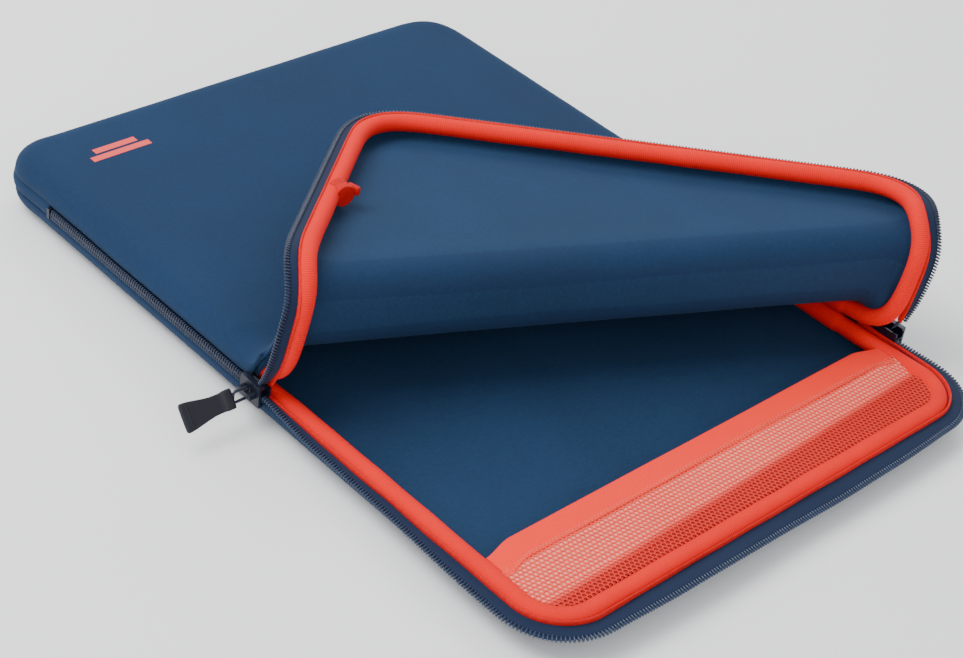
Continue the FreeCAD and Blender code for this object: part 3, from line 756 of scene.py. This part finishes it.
def dishPoint(gridX, gridY, inset, upper):
    quarter = sleeve["edgeRound"] * math.pi / 2
    overX = abs(gridX) - (halfWidth - cornerRound)
    overY = abs(gridY) - (halfLength - cornerRound)
    if overX > 0 and overY > 0:
        far, near = max(overX, overY), min(overX, overY)
        turn = math.pi / 4 * near / far
        turn = turn if overX >= overY else math.pi / 2 - turn
        facing = turn
        centre = Vector((halfWidth - cornerRound, halfLength - cornerRound, 0))
        out = Vector((math.cos(turn), math.sin(turn), 0))
    elif overX >= overY:
        far, centre, out = overX, Vector((halfWidth - cornerRound, abs(gridY), 0)), Vector((1, 0, 0))
    else:
        far, centre, out = overY, Vector((abs(gridX), halfLength - cornerRound, 0)), Vector((0, 1, 0))
    margin, bend = panel["flatMargin"], sleeve["edgeRound"]
    if far <= 0:
        point, normal = Vector((abs(gridX), abs(gridY), 0)), Vector((0, 0, -1))
    elif far <= margin:
        point, normal = centre + out * far, Vector((0, 0, -1))
    elif far <= margin + quarter:
        turn = (far - margin) / bend
        point = centre + out * (margin + bend * math.sin(turn)) + up * bend * (1 - math.cos(turn))
        normal = out * math.sin(turn) - up * math.cos(turn)
    else:
        point, normal = centre + out * cornerRound + up * (bend + far - margin - quarter), out.copy()
    point -= normal * inset
    if gridY > 0 and overX > 0 and overY > 0:
        point += out * cornerFill(gridX < 0, facing) * min(far / margin, 1)
    if gridX < 0:
        point.x, normal.x = -point.x, -normal.x
    if gridY < 0:
        point.y, normal.y = -point.y, -normal.y
    wave = noise.noise(Vector((gridX, gridY, 2.1)) * 30) * sleeve["waviness"] * (1 - abs(normal.z))
    point += normal * wave
    if upper:
        rise = panelRise(point.x, point.y) * max(-normal.z, 0)
        point.z = sleeve["thick"] - point.z + rise
    return point


def dish(inset, thickness, upper):
    # a shallow tray of cloth with rounded corners, its wall standing up, or down if upper
    spareX = halfWidth - cornerRound + panel["flatMargin"] + sleeve["edgeRound"] * math.pi / 2 + 1 * mm
    spareY = spareX + halfLength - halfWidth
    bm = bmesh.new()
    bmesh.ops.create_grid(bm, x_segments=round(2 * spareX / sleeve["gridStep"]),
                          y_segments=round(2 * spareY / sleeve["gridStep"]), size=1)
    for vert in bm.verts:
        vert.co = dishPoint(vert.co.x * spareX, vert.co.y * spareY, inset, upper)
    if not upper:
        bmesh.ops.reverse_faces(bm, faces=bm.faces)
    for face in bm.faces:
        face.smooth = True
    return finished(looseObject(bm), subdivide=1, thickness=thickness)


shellWall = sleeve["shellThick"] - panel["gap"]
baseShell = fixedPiece("baseShell", dish(0, shellWall, False), navyJersey,
                       ("base_outer_shell", "base_foam"))
baseLining = fixedPiece("baseLining", dish(sleeve["shellThick"], sleeve["liningThick"], False), blueJersey,
                        ("base_lining",))

for piece in splitAndRoll(dish(0, 0, True), shellWall, ("frontShell", "flapShell"), navyJersey,
                          (("front_outer_shell", "front_foam", "roll_outer_shell", "roll_foam"),
                           ("flap_outer_shell", "flap_foam"))):
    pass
for piece in splitAndRoll(dish(sleeve["shellThick"], 0, True), sleeve["liningThick"], ("frontLining", "flapLining"),
                          blueJersey, (("front_lining", "roll_lining"), ("flap_lining",))):
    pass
print("panels made")

# padded rims and their bindings

rim = {
    "inset": 7.6 * mm,      # from the outside of the wall to the middle of the tube
    "height": 9.7 * mm,
    "radius": 4.5 * mm,
    "step": 1.6 * mm,
    "lumps": 0.05,
    "slim": 0.12,           # thinner beside the sliders
    "bindingRadius": 0.8 * mm,
    "bindingInset": 2.7 * mm,
    "bindingHeight": 12.2 * mm,
    "flapOut": 1.0 * mm,    # on the flap the tube is pulled out and thinner, the binding tucked in
    "flapThin": 0.14,
    "flapTuck": 1.3 * mm,
}
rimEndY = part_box("base_rim_cover")[1][1]
rimStart, rimFinish = leftSliderY - rimEndY, openRun + rimEndY - rightSliderY


def rimPlace(distance):
    lump = 1 + rim["lumps"] * noise.noise(Vector((distance * 60, 4.2, 0)))
    slim = 1 - rim["slim"] * (1 - away(distance, 22 * mm)) * (distance > -20 * mm) * (distance < openRun + 20 * mm)
    return -rim["inset"], rim["height"] + 0.2 * mm * noise.noise(Vector((distance * 25, 1.7, 0))), lump * slim, 0.0


def bindingPlace(distance):
    wander = noise.noise(Vector((distance * 45, 8.1, 0)))
    return -rim["bindingInset"] + 0.25 * mm * wander, rim["bindingHeight"], 1.0, 0.2 * wander


def squareRing(low, high, bottom, top):
    return [(low, bottom), (high, bottom), (high, top), (low, top)]


def flapRimPlace(distance):
    outwards, height, widen, turn = rimPlace(distance)
    return outwards + rim["flapOut"], height, widen * (1 - rim["flapThin"] * away(distance, 12 * mm)), turn


def flapBindingPlace(distance):
    outwards, height, widen, turn = bindingPlace(distance)
    return outwards - rim["flapTuck"] * away(distance, 12 * mm), height, widen, turn


rimRing = circleRing(rim["radius"], 20)
rimRoute = {"start": rimStart, "end": rimFinish, "step": rim["step"]}
baseRim = fixedPiece("baseRim", sweep(rimRing, routeFrames(place=rimPlace, **rimRoute)), coralKnit,
                     ("base_rim_cover", "base_rim_padding"))
for piece in rolledSweep(rimRing, place=flapRimPlace, names=("frontRim", "flapRim"), material=coralKnit,
                         slotName="coral_knit", nodes=(("front_rim_cover", "front_rim_padding", "roll_rim"),
                                                       ("flap_rim_cover", "flap_rim_padding")), **rimRoute):
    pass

bindingRing = [(x * 0.7, y * 1.9) for x, y in circleRing(rim["bindingRadius"], 10)]
bindingFrames = routeFrames(-14 * mm, openRun + 14 * mm, 2 * mm, bindingPlace)
fixedPiece("baseRimBinding", sweep(bindingRing, bindingFrames), coralBinding, ("base_rim_binding",))
rolledSweep(bindingRing, 5 * mm, openRun - 5 * mm, 1.6 * mm, flapBindingPlace, ("rollRimBinding", "flapRimBinding"),
            coralBinding, "coral_binding", (("roll_rim",), ("flap_rim_binding",)))
print("rims made")

# zip

zipper = {
    "tapeInset": 3.4 * mm,      # where the tape comes out from under the binding
    "tapeWidth": 7.8 * mm,
    "tapeThick": 0.6 * mm,
    "pitch": 1.4 * mm,
    "tooth": (2.6 * mm, 0.8 * mm, 1.6 * mm),
    "toothOut": 0.6 * mm,       # its middle beyond the edge of the tape
    "toothUp": 0.3 * mm,
    "toothRound": 0.38 * mm,
    "flapLean": 0.35,
    "openReach": 40 * mm,       # how long the tapes take to spread apart
    "chainTooth": (2.2 * mm, 0.72 * mm, 2.9 * mm),
    "chainRound": 0.25 * mm,
    "rowApart": 1.05 * mm,      # either closed row from the middle of the chain
    "rowLean": 0.18,
    "stripIn": 1.9 * mm,        # closed tape behind the chain
    "stripFoot": 10.2 * mm,
    "stripSize": (0.7 * mm, 4.2 * mm),
}
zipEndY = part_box("zip_end_stops")[0][1]
sliderReach = 5.5 * mm


def flareAt(distance):
    # narrow along the left side, wide at the open end
    widening = 0.5 + 0.5 * ease(distance, leftRun * 0.4, leftRun + cornerRun)
    clear = away(distance, zipper["openReach"])
    spread = widening * clear + 0.3 * (1 - clear)
    return spread * (1 - 0.18 * atCorner(distance)) * (1 + 0.07 * noise.noise(Vector((distance * 22, 5.5, 0))))


def flapTapePlace(distance):
    # on the flap the tape is drawn in under the rim
    showing = 0.46 + 0.08 * ease(distance, openRun - rightRun - 2 * cornerRun, openRun - rightRun - cornerRun / 2)
    return -zipper["tapeInset"], tapeHeight(distance), showing, -0.1


def tapeHeight(distance):
    return (11.3 + 1.3 * (1 - away(distance, zipper["openReach"]))) * mm


def tapeTilt(distance):
    return -0.16 * away(distance, 60 * mm) * (1 + 0.8 * noise.noise(Vector((distance * 18, 9.3, 0))))


def tapePlace(distance):
    return -zipper["tapeInset"], tapeHeight(distance), flareAt(distance), tapeTilt(distance)


def toothMatrices(frames, lean):
    # teeth along the outer edge of a tape that follows these frames
    matrices = []
    for matrix, run in frames:
        across, lift, heading = (matrix.col[k].xyz for k in range(3))
        reach = zipper["tapeWidth"] * across.length + zipper["toothOut"]
        across, lift, heading = across.normalized(), lift.normalized(), heading.normalized()
        centre = matrix.translation + across * reach + lift * zipper["toothUp"]
        wobble = 0.12 * noise.noise(Vector((run * 400, 3.3, 0)))
        across = (across + heading * (lean + wobble)).normalized()
        matrices.append(framed(across, lift.cross(across), lift, centre))
    return matrices


def stripPlace(distance):
    return -zipper["stripIn"], zipper["stripFoot"], 1.0, 0.0


def tooth():
    return block(zipper["tooth"], zipper["toothRound"], 1)


tapeRing = bandRing(zipper["tapeWidth"], zipper["tapeThick"])
tapeFrames = routeFrames(2 * mm, openRun - 2 * mm, 2.2 * mm, tapePlace)
fixedPiece("baseZipTape", sweep(tapeRing, tapeFrames), denimTape, ("base_zip_tape",))
rolledSweep(tapeRing, 2 * mm, openRun - 2 * mm, 1.6 * mm, flapTapePlace, ("frontZipTape", "flapZipTape"), denimTape,
            "denim_tape", (("front_zip_tape",), ("flap_zip_tape",)))

teethStart, teethEnd = 4 * mm, openRun - 4 * mm
teethRun = int((teethEnd - teethStart) / zipper["pitch"]) * zipper["pitch"]
teethFrames = routeFrames(teethStart, teethStart + teethRun, zipper["pitch"], tapePlace)
fixedPiece("baseZipCoil", copiesOf(tooth(), toothMatrices(teethFrames, 0)), paintedHighlightCoil, ("base_zip_coil",))

# on the rolled panel the teeth are spaced along the edge as it lies
rows = {0: [], 1: []}
for part, frames in rolledRoute(teethStart, teethEnd, zipper["pitch"], flapTapePlace):
    rows[part] += toothMatrices(frames[:-1], zipper["flapLean"])
for part, name in enumerate(("frontZipCoil", "flapZipCoil")):
    coil = makeObject(name, copiesOf(tooth(), rows[part]), darkCoil)
    foldOver(coil, part, (("front_zip_coil",), ("flap_zip_coil",)))

# closed stretches beyond both sliders: two tapes and the meshed chain
closedRuns = ((-(zipEndY - leftSliderY), -sliderReach), (openRun + sliderReach, openRun + zipEndY - rightSliderY))
for side, (start, end) in zip(("Left", "Right"), closedRuns):
    for upper, label, tapeNode, coilNode in ((False, "Lower", "base_zip_tape", "base_zip_coil"),
                                             (True, "Upper", "front_zip_tape", "front_zip_coil")):
        frames = routeFrames(start, end, 6 * mm, stripPlace, upper=upper)
        strip = sweep(squareRing(0, zipper["stripSize"][0], 0, zipper["stripSize"][1]), frames)
        fixedPiece("closedTape" + label + side, strip, denimTape, (tapeNode,))
        # beads of one row fall between the beads of the other
        beads, turn = [], 1 if upper else -1
        for index in range(int((end - start) / zipper["pitch"])):
            point, out = outlineAt(start + (index + 0.5 * upper + 0.25) * zipper["pitch"])
            centre = point - out * 0.1 * mm + up * (middle + turn * zipper["rowApart"])
            lift = (up + onwards(out) * turn * zipper["rowLean"]).normalized()
            beads.append(framed(out, lift.cross(out), lift, centre))
        chain = copiesOf(block(zipper["chainTooth"], zipper["chainRound"], 1), beads)
        fixedPiece("closedCoil" + label + side, chain, darkCoil, (coilNode,))
print("zip made")

# closed end

spine = {"thick": 3.0 * mm, "bulge": 0.5 * mm}
spineLow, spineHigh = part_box("end_spine")
spineStraight = halfLength - cornerRound - spineLow[1]
spineRun = 2 * spineStraight + 2 * cornerRun + endRun
ringHeight = spineHigh[2] - spineLow[2]
spineRing = [(-spine["thick"], 0), (-0.9 * mm, 0), (-0.2 * mm, 0.5 * mm), (spine["bulge"] * 0.8, 0.3 * ringHeight),
             (spine["bulge"], 0.5 * ringHeight), (spine["bulge"] * 0.8, 0.7 * ringHeight),
             (-0.2 * mm, ringHeight - 0.5 * mm), (-0.9 * mm, ringHeight), (-spine["thick"], ringHeight)]


def spinePlace(distance):
    point, out = outlineAt(distance, straight=spineStraight, closedEnd=True)
    return cornerFill(point.x < 0, math.atan2(abs(out.y), abs(out.x))), spineLow[2], 1.0, 0.0


spineFrames = routeFrames(0, spineRun, 3 * mm, spinePlace, straight=spineStraight, closedEnd=True)
fixedPiece("endSpine", keepClosed(sweep(spineRing, spineFrames)), navyJersey, ("end_spine",))

bindLow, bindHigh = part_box("end_seam_binding")
bindRing = [(-x * 0.5 - 0.4 * mm, y * 4.4) for x, y in circleRing(0.95 * mm, 14)]
bindFrames = [(acrossX(x, bindHigh[1], middle), x) for x in evenly(bindLow[0], bindHigh[0], 50)]
fixedPiece("endSeamBinding", keepClosed(sweep(bindRing, bindFrames)), coralBinding,
           ("end_seam_binding",))

# pocket
pocket = {"pitch": 2.15 * mm, "bar": 0.26, "netThick": 0.35 * mm, "rimClear": 10.2 * mm, "sag": 0.9 * mm,
          "zigzag": 1.7 * mm, "thread": 0.28 * mm, "bow": 3 * mm, "dip": 0.8 * mm,
          "pucker": 0.7 * mm, "puckerWide": 2.2 * mm, "ripple": 0.35 * mm}
netLow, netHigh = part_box("pocket_mesh")
hemLow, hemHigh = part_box("pocket_hem")


def netHeight(x, y):
    # sags between hem and rim, with one long pucker across it
    share = (y - netLow[1]) / (netHigh[1] - netLow[1])
    dip = math.sin(math.pi * min(max(share, 0), 1)) * pocket["sag"]
    pucker = (y - netLow[1] - (0.30 + 0.35 * (x / halfWidth + 1) / 2) * (netHigh[1] - netLow[1])) / pocket["puckerWide"]
    ripple = noise.noise(Vector((x * 30, y * 60, 1.1))) * pocket["ripple"]
    return netHigh[2] - 0.15 * mm - dip - pocket["pucker"] * math.exp(-pucker * pucker) + ripple


def insideRim(x, y, inset):
    overX = abs(x) - (halfWidth - cornerRound)
    overY = abs(y) - (halfLength - cornerRound)
    if overX > 0 and overY > 0:
        return math.hypot(overX, overY) < cornerRound - inset
    return abs(x) < halfWidth - inset and abs(y) < halfLength - inset


cell = bmesh.new()
bmesh.ops.create_circle(cell, cap_ends=True, segments=6, radius=pocket["pitch"] / math.sqrt(3) * 0.9999)
bmesh.ops.inset_individual(cell, faces=cell.faces[:], thickness=pocket["pitch"] * pocket["bar"] / 2,
                           use_even_offset=True)
hole = max(cell.faces, key=lambda f: len(f.verts))
bmesh.ops.delete(cell, geom=[hole], context="FACES")
rowStep, columnStep = pocket["pitch"] * math.sqrt(3) / 2, pocket["pitch"]
places = []
for row in range(math.ceil((netHigh[1] - netLow[1] + 1 * mm) / rowStep)):
    for column in range(math.ceil((netHigh[0] - netLow[0]) / columnStep)):
        x, y = netLow[0] + (column + 0.5 * (row % 2)) * columnStep, netLow[1] + row * rowStep
        if insideRim(x, y, pocket["rimClear"]):
            places.append(Matrix.Translation((x, y, 0)))
net = copiesOf(cell, places)
bmesh.ops.remove_doubles(net, verts=net.verts, dist=pocket["pitch"] * 0.06)
bmesh.ops.recalc_face_normals(net, faces=net.faces)
for vert in net.verts:
    vert.co.z = netHeight(vert.co.x, vert.co.y)
bmesh.ops.solidify(net, geom=net.faces[:], thickness=pocket["netThick"])
pocketNet = fixedPiece("pocketNet", net, coralNet, ("pocket_mesh",))

backing = bmesh.new()
bmesh.ops.create_grid(backing, x_segments=70, y_segments=14, size=1)
for vert in backing.verts:
    y = netLow[1] + (vert.co.y + 1) / 2 * (netHigh[1] - netLow[1])
    cornerY = max(0, abs(y) - (halfLength - cornerRound))
    bow = math.sqrt(max((cornerRound - pocket["rimClear"]) ** 2 - cornerY ** 2, 0))
    x = vert.co.x * (halfWidth - cornerRound + bow)
    vert.co = Vector((x, y, netHeight(x, y) - 0.75 * mm))
bmesh.ops.recalc_face_normals(backing, faces=backing.faces)
bmesh.ops.solidify(backing, geom=backing.faces[:], thickness=0.3 * mm)
pocketBacking = fixedPiece("pocketBacking", backing, netBacking, ("pocket_mesh",), smoothAngle=60)


def tuckAt(x):
    # both ends of the hem dip under the rim
    return ease(abs(x), halfWidth - 26 * mm, halfWidth - 10 * mm)


hemLong, hemWidth = hemHigh[0] - hemLow[0], hemHigh[1] - hemLow[1]
hemMiddle = (hemHigh[1] + hemLow[1]) / 2
hemFrames = []
for x in evenly(hemLow[0], hemHigh[0], round(hemLong / (2 * mm))):
    height = hemLow[2] + 0.55 * mm + 0.25 * mm * noise.noise(Vector((x * 30, 6.6, 0))) - pocket["dip"] * tuckAt(x)
    hemFrames.append((acrossX(x, hemMiddle - pocket["bow"] * tuckAt(x), height), x))
hemRing = [(math.copysign(abs(math.cos(a)) ** 0.35, math.cos(a)) * hemWidth / 2,
            math.copysign(abs(math.sin(a)) ** 0.6, math.sin(a)) * 0.62 * mm)
           for a in (math.tau * k / 28 + 0.05 for k in range(28))]
pocketHem = fixedPiece("pocketHem", sweep(hemRing, hemFrames), coralElastic, ("pocket_hem",))

# zigzag row along the hem's outer edge
stitchFrames = []
for index in range(2 * round(hemLong / pocket["zigzag"])):
    x = hemLow[0] + (index + 0.5) * pocket["zigzag"] / 2
    swing = 0.9 * mm if index % 2 else -0.9 * mm
    y = hemLow[1] + 1.1 * mm + swing - pocket["bow"] * tuckAt(x)
    stitchFrames.append((acrossX(x, y, hemHigh[2] - 0.05 * mm - pocket["dip"] * tuckAt(x)), x))
threadRing = [(x, y * 0.6) for x, y in circleRing(pocket["thread"], 6)]
fixedPiece("pocketStitching", keepClosed(sweep(threadRing, stitchFrames)), coralThread,
           ("pocket_stitching",))
print("pocket made")

# printed bars

markLow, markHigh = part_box("printed_mark")
bars = []
for share in (0.22, 0.78):
    bar = bmesh.new()
    bmesh.ops.create_grid(bar, x_segments=24, y_segments=4, size=1)
    for vert in bar.verts:
        half = (markHigh[0] - markLow[0]) / 2 * (1.0 if share < 0.5 else 0.72)
        x = (markLow[0] + markHigh[0]) / 2 + vert.co.x * half
        y = markLow[1] + (markHigh[1] - markLow[1]) * (share + vert.co.y * 0.2)
        vert.co = Vector((x, y, sleeve["thick"] + panelRise(x, y) + 0.12 * mm))
    bmesh.ops.recalc_face_normals(bar, faces=bar.faces)
    bmesh.ops.solidify(bar, geom=bar.faces[:], thickness=0.12 * mm)
    bars.append(bar)
fixedPiece("printedMark", joined(*bars), coralPrint, ("printed_mark",))

# pullers

pull = {"start": 7.0 * mm, "length": 24 * mm, "neck": 4.2 * mm, "thick": 0.8 * mm, "leftLean": 40,
        "rightSwing": 78}


def roundedRing(power=0.45, sides=28):
    ring = []
    for k in range(sides):
        c, s = math.cos(math.tau * k / sides), math.sin(math.tau * k / sides)
        ring.append((math.copysign(abs(c) ** power, c), math.copysign(abs(s) ** power, s)))
    return ring


def pullerShape():
    # lies along +x, its width along z, as it leaves the wire loop
    frames = []
    for share, half, thick in ((0, 0.5, 0.5), (0.004, 0.82, 0.85), (0.02, 0.97, 1.5), (0.05, 1.0, 1.75),
                               (0.16, 0.98, 1.7), (0.19, 0.95, 1.35), (0.21, 0.93, 1.0), (0.3, 0.93, 0.95),
                               (0.42, 0.95, 0.9), (0.55, 1.06, 0.9), (0.68, 1.2, 0.9), (0.8, 1.33, 0.9),
                               (0.9, 1.41, 0.9), (0.955, 1.42, 0.9), (0.98, 1.36, 0.85), (0.994, 1.22, 0.6),
                               (1.0, 1.0, 0.3)):
        x = pull["start"] + pull["length"] * share
        frames.append((framed((0, 0, pull["neck"] * half), (0, pull["thick"] * thick, 0), (1, 0, 0), (x, 0, 0)), x))
    parts = [keepClosed(sweep(roundedRing(), frames))]
    for share in (0.82, 0.88):
        rib = block((0.7 * mm, 2.6 * pull["thick"], 9.4 * mm), 0.3 * mm, 2)
        bmesh.ops.translate(rib, vec=(pull["start"] + pull["length"] * share, 0, 0), verts=rib.verts)
        parts.append(rib)
    return joined(*parts)


for label, swing, lean in (("left", 180, pull["leftLean"]), ("right", pull["rightSwing"], 0)):
    pin = Vector(joints["puller_%s_swing" % label]["pos_m"])
    place = (Matrix.Translation(pin) @ Matrix.Rotation(math.radians(swing), 4, "Z")
             @ Matrix.Rotation(math.radians(lean), 4, "X"))
    tab = pullerShape()
    bmesh.ops.transform(tab, matrix=place, verts=tab.verts)
    fixedPiece(label + "Puller", tab, navyRubber, ("slider_%s_puller" % label,),
               "puller_" + label, 50)
print("pullers made")

# tab over the joint in the flap's rim

tabLow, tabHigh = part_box("flap_rim_tab")
tabMiddle = (tabLow + tabHigh) / 2
rimLine = Vector((0, 1, 0)).lerp(-aheadFold, 0.25).normalized()
tabTurn = rimLine.to_track_quat("X", "Z").to_matrix().to_4x4()
wrap = ((-3.6, 3.9), (-3.4, 4.7), (-1.2, 4.9), (0.2, 4.5), (1.4, 4.9), (3.4, 4.7), (3.6, 3.9))   # run and radius, mm
band = sweep(circleRing(1, 20), [(Matrix.Translation(tabMiddle) @ tabTurn @ acrossX(x * mm, 0, 0, r * mm), x * mm)
                                 for x, r in wrap])
tail = block((6.0 * mm, 2.2 * mm, 4.2 * mm), 0.9 * mm, 3)
fold = block((4.4 * mm, 1.8 * mm, 3.2 * mm), 0.7 * mm, 3)
bmesh.ops.translate(fold, vec=(1.6 * mm, 1.2 * mm, 0.4 * mm), verts=fold.verts)
ending = joined(tail, fold)
bmesh.ops.transform(ending, verts=ending.verts, matrix=Matrix.Translation(
    tabMiddle + alongFold * 5.4 * mm + up * 1.2 * mm) @ tabTurn @ Matrix.Rotation(0.35, 4, "Z"))
fixedPiece("flapRimTab", joined(keepClosed(band), ending), coralBinding, ("flap_rim_tab",), "flap",
           60)

# carried-over parts

carried = {"zip_end_stops": sliderPaint}
for side in ("left", "right"):
    for part, material in (("body", sliderPaint), ("bridge", sliderPaint), ("link", linkSteel)):
        carried["slider_%s_%s" % (side, part)] = material
for node, material in carried.items():
    mesh = frame["nodes"][node].data
    mesh.materials.clear()
    mesh.materials.append(material)

# floor, light and camera

floorBm = bmesh.new()
bmesh.ops.create_grid(floorBm, x_segments=1, y_segments=1, size=3)
floor = looseObject(floorBm, "floor")
paleFloor = bpy.data.materials.new("paleFloor")
paleFloor.use_nodes = True
floorShader = paleFloor.node_tree.nodes["Principled BSDF"]
floorShader.inputs["Base Color"].default_value = (0.93, 0.93, 0.93, 1)
floorShader.inputs["Roughness"].default_value = 0.8
floor.data.materials.append(paleFloor)
floor.location.z = -0.2 * mm

world = bpy.data.worlds.new("studio")
world.use_nodes = True
background = world.node_tree.nodes["Background"]
background.inputs[0].default_value = (0.95, 0.97, 1, 1)
background.inputs[1].default_value = 0.85
scene.world = world


def areaLight(name, place, target, size, power, colour=(1, 1, 1)):
    data = bpy.data.lights.new(name, "AREA")
    data.shape = "RECTANGLE"
    data.size, data.size_y = size
    data.energy = power
    data.color = colour
    light = bpy.data.objects.new(name, data)
    scene.collection.objects.link(light)
    light.location = place
    light.rotation_euler = (Vector(target) - Vector(place)).to_track_quat("-Z", "Y").to_euler()


areaLight("key", (-0.5, 0.5, 1.1), (0, 0, 0), (0.9, 0.9), 18)
areaLight("fill", (-0.7, -0.9, 0.7), (0, 0, 0), (1.0, 0.7), 5)
areaLight("back", (0.9, 0.6, 0.9), (0, 0, 0), (0.9, 0.6), 6)

shot = {"azimuth": -48.03, "elevation": 36.28, "roll": 9.19, "lens": 77.76, "distance": 0.8864,
        "target": (-9.2 * mm, -13.1 * mm, 0)}
azimuth, elevation, roll = (math.radians(shot[k]) for k in ("azimuth", "elevation", "roll"))
forward = Vector((-math.sin(azimuth) * math.cos(elevation), math.cos(azimuth) * math.cos(elevation),
                  -math.sin(elevation)))
right = forward.cross(up).normalized()
above = right.cross(forward)
right, above = right * math.cos(roll) + above * math.sin(roll), above * math.cos(roll) - right * math.sin(roll)
cameraData = bpy.data.cameras.new("camera")
cameraData.lens = shot["lens"]
cameraData.sensor_width = 36
cameraData.clip_start = 0.01
camera = bpy.data.objects.new("camera", cameraData)
scene.collection.objects.link(camera)
stand = Vector(shot["target"]) - forward * shot["distance"]
camera.matrix_world = framed(right, above, -forward, stand)
scene.camera = camera
print("scene ready")
